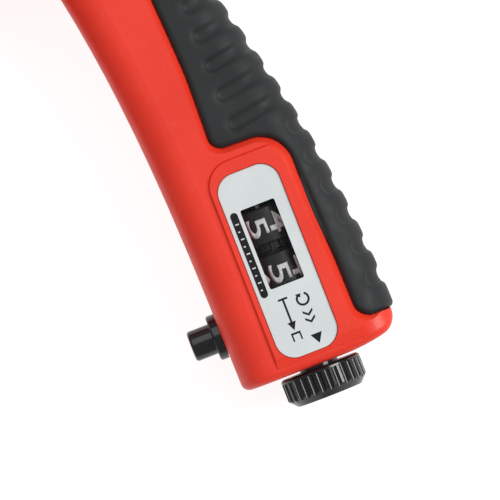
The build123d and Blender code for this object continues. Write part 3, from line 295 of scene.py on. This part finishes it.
def metal(name, light, dark, roughness, stretch):
    """Steel or bronze with grinding lines; stretch is small along the lines."""
    finish = Finish(name, Metallic=1.0)
    clouds = finish.remap(finish.noise(5, 4), 0.35, 0.65, 0, 1)
    finish.colour(finish.blend(clouds, light, dark))
    lines = finish.noise(0.18, 3, stretch)
    finish.roughness(finish.remap(lines, 0.3, 0.7, roughness[0], roughness[1]))
    finish.bump((finish.noise(3, 2), 0.01), (lines, 0.004))
    return finish.material


def ink(name, light, dark):
    """Printed ink or hot-stamped paint, slightly uneven."""
    finish = Finish(name, Specular_IOR_Level=0.2)
    mottle = finish.remap(finish.noise(0.5, 4), 0.4, 0.75, 0, 1)
    finish.colour(finish.blend(mottle, light, dark))
    finish.roughness(finish.remap(finish.noise(0.8, 3), 0.3, 0.7, 0.4, 0.6))
    finish.bump((finish.noise(0.2, 2), 0.004))
    return finish.material


ACROSS_LINES = (1, 0.04, 1)
ALONG_AXIS = (1, 1, 0.1)
finishes = {
    "red_plastic": red_plastic(),
    "grip_rubber": grip_rubber(),
    "black_plastic": moulded(
        "black_plastic", (0.005, 0.005, 0.006), (0.008, 0.008, 0.009), (0.12, 0.24), 0.8, 0.006,
    ),
    "drum_plastic": moulded(
        "drum_plastic", (0.003, 0.003, 0.003), (0.005, 0.005, 0.005), (0.40, 0.55), 0.3, 0.006,
    ),
    "white_plastic": moulded(
        "white_plastic", (0.78, 0.77, 0.72), (0.70, 0.69, 0.64), (0.35, 0.5), 0.5, 0.01,
    ),
    "label_plate": label_plate(),
    "clear_lens": clear_lens(),
    "plated_steel": metal(
        "plated_steel", (0.60, 0.61, 0.60), (0.50, 0.50, 0.48), (0.22, 0.38), ACROSS_LINES,
    ),
    "dark_steel": metal(
        "dark_steel", (0.10, 0.10, 0.11), (0.06, 0.06, 0.065), (0.30, 0.45), ALONG_AXIS,
    ),
    "tool_steel": metal(
        "tool_steel", (0.48, 0.49, 0.50), (0.40, 0.41, 0.42), (0.16, 0.34), ACROSS_LINES,
    ),
    "spring_steel": metal(
        "spring_steel", (0.42, 0.42, 0.43), (0.34, 0.34, 0.35), (0.2, 0.35), ACROSS_LINES,
    ),
    "bronze": metal("bronze", (0.58, 0.40, 0.19), (0.45, 0.30, 0.14), (0.3, 0.5), ALONG_AXIS),
}
black_ink = ink("black_ink", (0.005, 0.005, 0.006), (0.016, 0.016, 0.018))
pale_ink = ink("pale_ink", (0.62, 0.65, 0.66), (0.50, 0.53, 0.54))
digit_paint = ink("digit_paint", (0.86, 0.85, 0.87), (0.66, 0.66, 0.68))

for part in frame["record"]["subparts"]:
    node = frame["nodes"][part["node"]]
    for slot in node.material_slots:
        slot.material = finishes[part["material_slot"]]


# ---------------------------------------------------------------- pieces in general
def make_piece(name, points, faces, material, body, smooth=True):
    """A mesh object from points in metres, riding on a body."""
    mesh = bpy.data.meshes.new(name)
    mesh.from_pydata([tuple(p) for p in points], [], faces)
    mesh.validate()
    piece = bpy.data.objects.new(name, mesh)
    bpy.context.scene.collection.objects.link(piece)
    mesh.materials.append(material)
    shape = bmesh.new()
    shape.from_mesh(mesh)
    bmesh.ops.remove_doubles(shape, verts=shape.verts, dist=0.002 * MM)
    bmesh.ops.recalc_face_normals(shape, faces=shape.faces)
    for face in shape.faces:
        face.smooth = smooth
    shape.to_mesh(mesh)
    shape.free()
    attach(piece, body)
    return piece


def rounded_path(corners, radii, steps=14):
    """Corners joined by straight lines, each inner corner rounded to its radius."""
    path = [np.array(corners[0], float)]
    for before, corner, after, radius in zip(corners, corners[1:], corners[2:], radii):
        corner = np.array(corner, float)
        back = np.array(before, float) - corner
        ahead = np.array(after, float) - corner
        back /= np.linalg.norm(back)
        ahead /= np.linalg.norm(ahead)
        half = math.acos(np.clip(back @ ahead, -1, 1)) / 2
        middle = back + ahead
        centre = corner + middle / np.linalg.norm(middle) * radius / math.sin(half)
        first = corner + back * radius / math.tan(half) - centre
        last = corner + ahead * radius / math.tan(half) - centre
        start = math.atan2(first[1], first[0])
        turn = math.atan2(last[1], last[0]) - start
        turn = (turn + math.pi) % (2 * math.pi) - math.pi
        for step in range(steps + 1):
            angle = start + turn * step / steps
            path.append(centre + radius * np.array((math.cos(angle), math.sin(angle))))
    path.append(np.array(corners[-1], float))
    return np.array(path)


# ---------------------------------------------------------------- rubber grips
def unroll(inward, side, rounding):
    """Length over the surface, from the mid plane, to a distance in from the edge."""
    turned = np.arccos(np.clip(1 - inward / rounding, 0, 1))
    return side + rounding * turned + np.maximum(inward - rounding, 0)


def distance_to_path(s, y, path):
    """Shortest distance from each point (s, y) to an open path."""
    nearest = np.full(s.shape, 1e9)
    for (s0, y0), (s1, y1) in zip(path, path[1:]):
        run_s, run_y = s1 - s0, y1 - y0
        length = max(run_s * run_s + run_y * run_y, 1e-12)
        along = np.clip(((s - s0) * run_s + (y - y0) * run_y) / length, 0, 1)
        nearest = np.minimum(nearest, np.hypot(s - s0 - along * run_s, y - y0 - along * run_y))
    return nearest


def groove(s, y, centre_y, end_s, slope_from, slope, radius, wall):
    """Depth share of a groove that runs in from the seam to end_s: a scallop with a
    round-ended pocket in its middle, whose wall is that wide."""
    line_y = centre_y - slope * np.maximum(s - slope_from, 0)
    across = np.hypot(np.maximum(s - end_s, 0), y - line_y)
    scallop = (0.5 + 0.5 * np.cos(np.pi * np.minimum(across / radius, 1))) ** 1.3
    pocket = np.clip((radius * 0.62 - across) / wall, 0, 1)
    return 0.6 * scallop + 0.4 * pocket * pocket * (3 - 2 * pocket)


def grip_sheet(edge_x, boundary, towards, half_height, rounding, relief, step):
    """Points and faces of one rubber half, in plan coordinates and millimetres.

    edge_x(y) is the silhouette edge, boundary the rounded plan outline from its low
    end to its high end, towards is +1 or -1 for the way from the edge to the boundary,
    and relief(s, y) the depth pressed into the surface.
    """
    side = half_height - rounding
    past_bend = rounding + 0.5
    inner = boundary[1:-1]
    rows = np.arange(inner[0][1], inner[-1][1], step)
    rows = np.unique(np.round(np.concatenate((rows, inner[:, 1])), 3))
    limit = (np.interp(rows, inner[:, 1], inner[:, 0]) - edge_x(rows)) * towards
    is_wide = limit > rounding + 1.5
    wide = np.flatnonzero(is_wide)
    split = np.where(is_wide, past_bend, limit)
    blocks = (
        (np.zeros_like(rows), split, ROUND_COLUMNS, slice(0, len(rows))),
        (split, limit, FLAT_COLUMNS, slice(wide[0] - 1, wide[-1] + 2)),
    )
    outline_in = (inner[:, 0] - edge_x(inner[:, 1])) * towards
    outline = np.column_stack((unroll(outline_in, side, rounding), inner[:, 1]))
    outline = np.vstack(((0, inner[0][1]), outline, (0, inner[-1][1])))
    points = []
    faces = []
    for low, high, columns, chosen in blocks:
        y = np.repeat(rows[chosen, None], columns, axis=1)
        share = np.linspace(0, 1, columns)[None, :]
        s_low = np.where(low > 0, unroll(low, side, rounding), SEAM_HALF)[chosen, None]
        s_high = unroll(high, side, rounding)[chosen, None]
        s = s_low + (s_high - s_low) * share
        rim = np.minimum(distance_to_path(s, y, outline) / LIP_ROUND, 1)
        lip = LIP_ROUND * (1 - np.sqrt(1 - (1 - rim) ** 2))
        sunk = lip + relief(s, y) * np.minimum(rim * 1.5, 1)
        turned = np.clip((s - side) / rounding, 0, math.pi / 2)
        on_flat = np.maximum(s - side - rounding * math.pi / 2, 0)
        inward = rounding * (1 - np.cos(turned)) + on_flat
        x = edge_x(y) + towards * (inward + np.cos(turned) * sunk)
        z = np.minimum(s, side) + rounding * np.sin(turned) - np.sin(turned) * sunk
        first = len(points)
        points += list(np.stack((x, y, z), axis=-1).reshape(-1, 3))
        for row in range(y.shape[0] - 1):
            for column in range(columns - 1):
                corner = first + row * columns + column
                faces.append((corner, corner + 1, corner + columns + 1, corner + columns))
    return points, faces


def grip_pair(name, points, faces, to_metres, body, nodes):
    """The right half and its mirror image below the mid plane, given some thickness."""
    rubber = finishes["grip_rubber"]
    for side, sign, node in (("right", 1, nodes[0]), ("left", -1, nodes[1])):
        placed = [to_metres(x, y, sign * z) for x, y, z in points]
        piece = make_piece(f"{name}_{side}", placed, faces, rubber, body)
        mesh = piece.data
        highest = max(mesh.polygons, key=lambda face: sign * face.center.z)
        if highest.normal.z * sign < 0:
            mesh.flip_normals()
        body_of_rubber = piece.modifiers.new("thickness", "SOLIDIFY")
        body_of_rubber.thickness = RUBBER_BODY * MM
        body_of_rubber.offset = -1.0
        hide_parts(node)


def palm_edge(y):
    """X of the handle's palm edge; the rubber sinks slightly towards the head."""
    y = np.asarray(y, float)
    past = y - PALM_BEND_Y
    low = PALM_BUTT_X - (PALM_BUTT_X - PALM_BEND_X) * (np.maximum(y, 0) / PALM_BEND_Y) ** 1.89
    high = PALM_BEND_X - 0.281 * past + 0.00275 * past ** 2
    return np.where(past <= 0, low, high) - 0.25 * np.clip((y - 40) / 15, 0, 1)


def palm_relief(s, y):
    """Finger grooves: short beside the counter, long above it."""
    total = np.zeros_like(s)
    for index in range(LOW_GROOVES):
        middle = FIRST_GROOVE_Y + index * LOW_PITCH
        short = groove(s, y, middle, LOW_GROOVE_END, 0, 0, LOW_GROOVE_RADIUS, LOW_GROOVE_WALL)
        total = np.maximum(total, short)
    side = HANDLE_HALF - HANDLE_ROUND
    first_high = FIRST_GROOVE_Y + LOW_GROOVES * LOW_PITCH
    for index in range(HIGH_GROOVES):
        middle = first_high + index * HIGH_PITCH - HIGH_GROOVE_LEAD
        reach = unroll(palm_edge(middle) - HIGH_GROOVE_END_X, side, HANDLE_ROUND)
        long = groove(
            s, y, middle, reach, HIGH_GROOVE_BENDS_AT, HIGH_GROOVE_SLOPE,
            LONG_GROOVE_RADIUS, LONG_GROOVE_WALL,
        )
        total = np.maximum(total, long)
    return PALM_GROOVE_DEPTH * total


def lever_edge(y):
    """X of the lever's outer edge, a parabola through three points.

    It is measured from the lever's pivot, with the lever closed.
    """
    (x0, y0), (x1, y1), (x2, y2) = LEVER_EDGE_POINTS
    return (
        x0 * (y - y1) * (y - y2) / (y0 - y1) / (y0 - y2)
        + x1 * (y - y0) * (y - y2) / (y1 - y0) / (y1 - y2)
        + x2 * (y - y0) * (y - y1) / (y2 - y0) / (y2 - y1)
    )


def lever_relief(s, y):
    """Even cross grooves down the lever."""
    total = np.zeros_like(s)
    for index in range(LEVER_GROOVES):
        middle = LEVER_FIRST_GROOVE_Y + index * LEVER_PITCH
        across = groove(
            s, y, middle, LEVER_GROOVE_END, LEVER_GROOVE_BENDS_AT, LEVER_GROOVE_SLOPE,
            LONG_GROOVE_RADIUS, LONG_GROOVE_WALL,
        )
        total = np.maximum(total, across)
    return LEVER_GROOVE_DEPTH * total


def lever_place(x, y, z):
    """Pivot coordinates of the closed lever to metres, with the lever open."""
    turned_x = x * math.cos(LEVER_TILT) - y * math.sin(LEVER_TILT)
    turned_y = x * math.sin(LEVER_TILT) + y * math.cos(LEVER_TILT)
    return place(LEVER_PIVOT[0] + turned_x, LEVER_PIVOT[1] + turned_y, z)


palm_low, palm_high = PALM_GRIP_Y
palm_boundary = rounded_path(
    [
        (30, palm_low), (12.55, palm_low), (12.4, 12), (11.6, 40.45),
        (-2.15, 40.75), (-1.65, 56), (-3.25, palm_high), (30, palm_high),
    ],
    [3.3, 60, 6.6, 2.6, 60, 7],
)
lever_low, lever_high = LEVER_GRIP_Y
lever_boundary = rounded_path(
    [
        (-40, lever_low), (7.35, lever_low), (9.65, -72),
        (7.85, -50), (4.35, lever_high), (-40, lever_high),
    ],
    [5, 60, 60, 4],
)
palm_points, palm_faces = grip_sheet(
    palm_edge, palm_boundary, -1, HANDLE_HALF, HANDLE_ROUND, palm_relief, 0.3,
)
lever_points, lever_faces = grip_sheet(
    lever_edge, lever_boundary, 1, LEVER_HALF, LEVER_ROUND, lever_relief, 0.35,
)
grip_pair("palm_grip", palm_points, palm_faces, place, "handle", ("grip_right", "grip_left"))
grip_pair(
    "finger_grip", lever_points, lever_faces, lever_place, "lever",
    ("lever_grip_right", "lever_grip_left"),
)


# ---------------------------------------------------------------- digits on the drums
def digit_outline(figure):
    """Flat mesh of a figure, scaled to the digit's size and centred, in millimetres."""
    text = bpy.data.curves.new("figure", "FONT")
    text.body = str(figure)
    text.resolution_u = 6
    text.offset = DIGIT_BOLDNESS
    holder = bpy.data.objects.new("figure", text)
    mesh = bpy.data.meshes.new_from_object(holder)
    shape = bmesh.new()
    shape.from_mesh(mesh)
    bpy.data.objects.remove(holder)
    bpy.data.meshes.remove(mesh)
    xs = [v.co.x for v in shape.verts]
    ys = [v.co.y for v in shape.verts]
    width = WIDTH_OF_ONE if figure == 1 else max(max(xs) - min(xs), NARROWEST_FIGURE)
    across = DIGIT_WIDTH / width
    up = DIGIT_HEIGHT / (max(ys) - min(ys))
    for vert in shape.verts:
        vert.co.x = (vert.co.x - (max(xs) + min(xs)) / 2) * across
        vert.co.y = (vert.co.y - (max(ys) + min(ys)) / 2) * up
    for cut in np.arange(-DIGIT_HEIGHT / 2 + DIGIT_CUT, DIGIT_HEIGHT / 2, DIGIT_CUT):
        bmesh.ops.bisect_plane(
            shape, geom=shape.verts[:] + shape.edges[:] + shape.faces[:],
            plane_co=(0, cut, 0), plane_no=(0, 1, 0),
        )
    shape.verts.index_update()
    points = [(v.co.x, v.co.y) for v in shape.verts]
    faces = [[v.index for v in face.verts] for face in shape.faces]
    shape.free()
    return points, faces


def digit_ring(name, body, middle_y, five_at):
    """The ten figures round a drum, painted on it with their tops to the palm."""
    points = []
    faces = []
    for figure in range(10):
        outline, outline_faces = digit_outline(figure)
        angle = five_at + (5 - figure) * DIGIT_STEP
        first = len(points)
        for along, up in outline:
            turned = angle + up / DRUM_RADIUS
            points.append(place(
                COUNTER_X + (DRUM_RADIUS + INK_HEIGHT) * math.sin(turned),
                middle_y - along,
                COUNTER_Z + (DRUM_RADIUS + INK_HEIGHT) * math.cos(turned),
            ))
        faces += [[first + corner for corner in face] for face in outline_faces]
    piece = make_piece(name, points, faces, digit_paint, body)
    axis = place(COUNTER_X, middle_y, COUNTER_Z)
    for face in piece.data.polygons:
        away = face.center - axis
        if face.normal.dot(Vector((away.x, 0, away.z))) < 0:
            face.flip()
    paint = piece.modifiers.new("paint", "SOLIDIFY")
    paint.thickness = 2 * INK_HEIGHT * MM
    paint.offset = -1.0


digit_ring("units_digits", "units_wheel", UNITS_MIDDLE_Y, UNITS_SHOWS_FIVE_AT)
digit_ring("tens_digits", "tens_wheel", TENS_MIDDLE_Y, TENS_SHOWS_FIVE_AT)


# ---------------------------------------------------------------- print on the label
def printed(name, outlines, material, level=0):
    """Flat ink shapes on the label, from closed plan outlines."""
    base_z = LABEL_TOP_Z + level * INK_HEIGHT
    points = []
    faces = []
    for outline in outlines:
        count = len(outline)
        first = len(points)
        points += [place(x, y, base_z - INK_HEIGHT) for x, y in outline]
        points += [place(x, y, base_z + INK_HEIGHT) for x, y in outline]
        faces.append(list(range(first, first + count)))
        faces.append(list(range(first + 2 * count - 1, first + count - 1, -1)))
        for index in range(count):
            after = (index + 1) % count
            faces.append((first + index, first + after, first + count + after, first + count + index))
    return make_piece(name, points, faces, material, "handle", smooth=False)


def capsule(x, low_y, high_y, half_width, steps=12):
    """A bar with round ends along Y."""
    outline = []
    for middle, start in ((high_y - half_width, 0), (low_y + half_width, math.pi)):
        for step in range(steps + 1):
            angle = start + math.pi * step / steps
            outline.append((
                x + half_width * math.cos(angle),
                middle + half_width * math.sin(angle),
            ))
    return outline


def bar(x0, y0, x1, y1):
    return [(x0, y0), (x1, y0), (x1, y1), (x0, y1)]


def arrow_down(x, tip_y, width, length):
    """A triangle that points at the butt."""
    return [(x, tip_y), (x + width / 2, tip_y + length), (x - width / 2, tip_y + length)]


def chevron(x, tip_y, width, depth, weight):
    """A V that points at the butt."""
    half = width / 2
    return [
        (x, tip_y), (x + half, tip_y + depth), (x + half, tip_y + depth + weight),
        (x, tip_y + weight), (x - half, tip_y + depth + weight), (x - half, tip_y + depth),
    ]


def turn_arrow(x, y, radius, weight, start, sweep, steps=20):
    """An open ring with an arrow head: turn the knob."""
    outline = []
    angles = [start + sweep * step / steps for step in range(steps + 1)]
    for angle in angles:
        outline.append((x + radius * math.cos(angle), y + radius * math.sin(angle)))
    last = angles[-1]
    head = ((radius + weight * 0.9, 0), (radius - weight / 2, 0.75), (radius - weight * 1.9, 0))
    for size, lead in head:
        angle = last + lead * math.copysign(1, sweep)
        outline.append((x + size * math.cos(angle), y + size * math.sin(angle)))
    inner = radius - weight
    for angle in reversed(angles):
        outline.append((x + inner * math.cos(angle), y + inner * math.sin(angle)))
    return outline


def tick(number):
    """A short or a long tick, by turns, up the black strip."""
    start_x, short_x, long_x = TICK_X
    low_y = FIRST_TICK_Y + TICK_PITCH * number
    return bar(start_x, low_y, long_x if number % 2 else short_x, low_y + TICK_WEIGHT)


printed("label_capsule", [capsule(CAPSULE_X, *CAPSULE_Y, CAPSULE_HALF)], black_ink)
printed("label_ticks", [tick(number) for number in range(TICKS)], pale_ink, level=1)
printed(
    "label_pictograms",
    [
        turn_arrow(TURN_SIGNS_X, 8.1, 1.35, 0.42, math.radians(60), math.radians(-285)),
        chevron(TURN_SIGNS_X, 4.6, 2.0, 0.8, 0.5),
        chevron(TURN_SIGNS_X, 3.2, 2.0, 0.8, 0.5),
        arrow_down(TURN_SIGNS_X, -1.0, 2.3, 2.0),
        bar(PUSH_SIGNS_X - 0.95, 9.2, PUSH_SIGNS_X + 0.95, 9.6),
        bar(PUSH_SIGNS_X - 0.2, 4.6, PUSH_SIGNS_X + 0.2, 9.2),
        arrow_down(PUSH_SIGNS_X, 3.0, 1.7, 1.7),
        bar(PUSH_SIGNS_X - 0.95, 2.2, PUSH_SIGNS_X + 0.95, 2.6),
        bar(PUSH_SIGNS_X - 0.95, 0.9, PUSH_SIGNS_X - 0.65, 2.2),
        bar(PUSH_SIGNS_X + 0.65, 0.9, PUSH_SIGNS_X + 0.95, 2.2),
    ],
    black_ink,
)


# ---------------------------------------------------------------- floor, lights, camera
def studio_floor():
    finish = Finish(
        "studio_floor", Roughness=0.9, Specular_IOR_Level=0.1, Emission_Strength=0.88,
    )
    finish.shader.inputs["Emission Color"].default_value = (1, 1, 1, 1)
    finish.colour(finish.blend(finish.noise(40, 2), (0.24, 0.24, 0.24), (0.23, 0.23, 0.23)))
    half = FLOOR_HALF_M
    corners = [(-half, -half, 0), (half, -half, 0), (half, half, 0), (-half, half, 0)]
    mesh = bpy.data.meshes.new("studio_floor")
    mesh.from_pydata(corners, [], [(0, 1, 2, 3)])
    mesh.materials.append(finish.material)
    floor = bpy.data.objects.new("studio_floor", mesh)
    bpy.context.scene.collection.objects.link(floor)


def soft_box(name, azimuth, elevation, distance, size, power):
    """A large square lamp that looks at the middle of the tool."""
    lamp = bpy.data.lights.new(name, "AREA")
    lamp.size = size
    lamp.energy = power
    holder = bpy.data.objects.new(name, lamp)
    bpy.context.scene.collection.objects.link(holder)
    level = distance * math.cos(elevation)
    height = distance * math.sin(elevation)
    spot = Vector((level * math.cos(azimuth), level * math.sin(azimuth), height))
    aim = place(0, 40, 0)
    holder.location = aim + spot
    holder.rotation_euler = spot.to_track_quat("Z", "Y").to_euler()


def studio():
    world = bpy.data.worlds.new("studio")
    world.use_nodes = True
    background = world.node_tree.nodes["Background"]
    background.inputs["Color"].default_value = (1, 1, 1, 1)
    background.inputs["Strength"].default_value = 0.40
    scene = bpy.context.scene
    scene.world = world
    scene.view_settings.view_transform = "Standard"
    soft_box("key", VIEW_TURN + math.radians(15), math.radians(48), 0.75, 0.35, 3.9)
    soft_box("fill", VIEW_TURN + math.radians(125), math.radians(60), 0.8, 0.6, 1.6)


def photo_camera():
    lens = bpy.data.cameras.new("camera")
    lens.sensor_width = SENSOR
    lens.lens = SENSOR * VIEW_HEIGHT / VIEW_WIDTH
    lens.clip_start = 0.01
    camera = bpy.data.objects.new("camera", lens)
    camera.location = place(VIEW_CENTRE[0], VIEW_CENTRE[1], LABEL_TOP_Z + VIEW_HEIGHT)
    camera.rotation_euler = (0, 0, VIEW_TURN)
    bpy.context.scene.collection.objects.link(camera)
    bpy.context.scene.camera = camera


studio_floor()
studio()
photo_camera()
